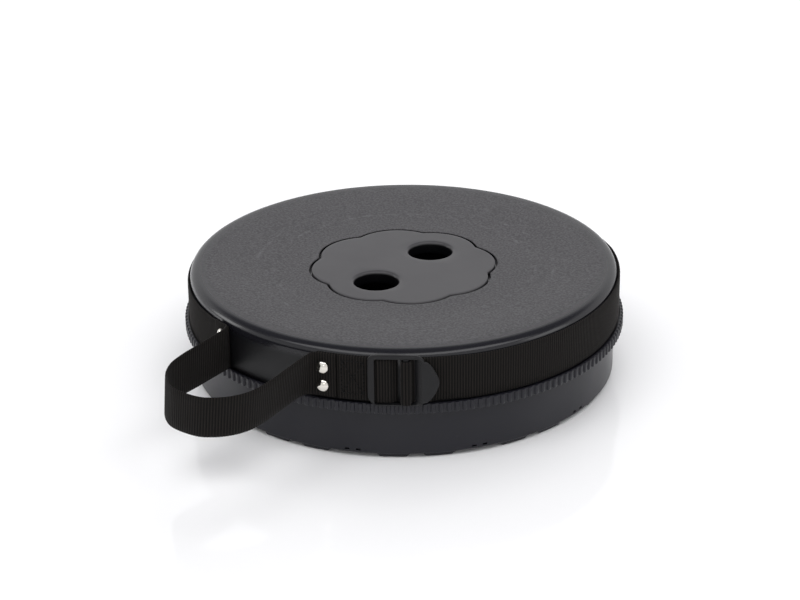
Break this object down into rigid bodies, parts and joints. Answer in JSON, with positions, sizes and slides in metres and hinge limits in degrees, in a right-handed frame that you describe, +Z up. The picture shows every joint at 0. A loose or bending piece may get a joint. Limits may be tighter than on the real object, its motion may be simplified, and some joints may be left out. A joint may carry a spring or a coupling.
{
  "type": "telescopic camping stool",
  "caption": "Round collapsible stool: a seat on nested telescopic rings in a toothed base, with a strap round the seat that ends in a buckle and a carrying loop.",
  "frame": {"origin": "centre of the base's underside, on the ground", "axes": "+Z up out of the seat, -Y towards the carrying loop"},
  "size_m": [0.25, 0.314, 0.0629],
  "materials": {
    "shell": "satin moulded polypropylene",
    "rings": "satin moulded polypropylene",
    "seat": "fine moulded grain",
    "cap": "smooth satin",
    "screws": "zinc plated steel",
    "webbing": "woven polypropylene webbing",
    "buckle": "matte moulded acetal",
    "rivets": "polished nickel"
  },
  "bodies": {
    "base": {"base_pan": "shell", "base_ring": "rings"},
    "ring_1": {"telescopic_ring_1": "rings"},
    "ring_2": {"telescopic_ring_2": "rings"},
    "ring_3": {"telescopic_ring_3": "rings"},
    "ring_4": {"telescopic_ring_4": "rings"},
    "ring_5": {"telescopic_ring_5": "rings"},
    "ring_6": {"telescopic_ring_6": "rings"},
    "ring_7": {"telescopic_ring_7": "rings"},
    "ring_8": {"telescopic_ring_8": "rings"},
    "ring_9": {"telescopic_ring_9": "rings"},
    "seat": {"seat_shell": "seat", "center_cap": "cap", "seat_hub": "rings", "hub_screw_1": "screws", "hub_screw_2": "screws", "hub_screw_3": "screws", "hub_screw_4": "screws", "cap_screw_1": "screws", "cap_screw_2": "screws", "cap_screw_3": "screws", "cap_screw_4": "screws", "strap_belt": "webbing", "strap_tab": "webbing", "strap_handle": "webbing", "rivet_1": "rivets", "rivet_2": "rivets", "rivet_3": "rivets", "rivet_4": "rivets"},
    "buckle": {"strap_buckle": "buckle", "anchor_loop": "webbing", "adjuster_loop": "webbing"}
  },
  "joints": [
    {"name": "ring_1_rise", "type": "slide", "parent": "base", "child": "ring_1", "axis": [0, 0, 1], "range_m": [0, 0.0427]},
    {"name": "ring_2_rise", "type": "slide", "parent": "ring_1", "child": "ring_2", "axis": [0, 0, 1], "range_m": [0, 0.0427]},
    {"name": "ring_3_rise", "type": "slide", "parent": "ring_2", "child": "ring_3", "axis": [0, 0, 1], "range_m": [0, 0.0427]},
    {"name": "ring_4_rise", "type": "slide", "parent": "ring_3", "child": "ring_4", "axis": [0, 0, 1], "range_m": [0, 0.0427]},
    {"name": "ring_5_rise", "type": "slide", "parent": "ring_4", "child": "ring_5", "axis": [0, 0, 1], "range_m": [0, 0.0427]},
    {"name": "ring_6_rise", "type": "slide", "parent": "ring_5", "child": "ring_6", "axis": [0, 0, 1], "range_m": [0, 0.0427]},
    {"name": "ring_7_rise", "type": "slide", "parent": "ring_6", "child": "ring_7", "axis": [0, 0, 1], "range_m": [0, 0.0427]},
    {"name": "ring_8_rise", "type": "slide", "parent": "ring_7", "child": "ring_8", "axis": [0, 0, 1], "range_m": [0, 0.0427]},
    {"name": "ring_9_rise", "type": "slide", "parent": "ring_8", "child": "ring_9", "axis": [0, 0, 1], "range_m": [0, 0.0427]},
    {"name": "seat_twist", "type": "hinge", "parent": "ring_9", "child": "seat", "pos_m": [0, 0, 0.05], "axis": [0, 0, -1], "range_deg": [0, 11.75]},
    {"name": "buckle_tilt", "type": "hinge", "parent": "seat", "child": "buckle", "pos_m": [0.05872, -0.10974, 0.0476], "axis": [0, 0, -1], "range_deg": [0, 20]}
  ],
  "couplings": [
    {"joint": "ring_2_rise", "follows": "ring_1_rise", "ratio": 1},
    {"joint": "ring_3_rise", "follows": "ring_1_rise", "ratio": 1},
    {"joint": "ring_4_rise", "follows": "ring_1_rise", "ratio": 1},
    {"joint": "ring_5_rise", "follows": "ring_1_rise", "ratio": 1},
    {"joint": "ring_6_rise", "follows": "ring_1_rise", "ratio": 1},
    {"joint": "ring_7_rise", "follows": "ring_1_rise", "ratio": 1},
    {"joint": "ring_8_rise", "follows": "ring_1_rise", "ratio": 1},
    {"joint": "ring_9_rise", "follows": "ring_1_rise", "ratio": 1}
  ]
}
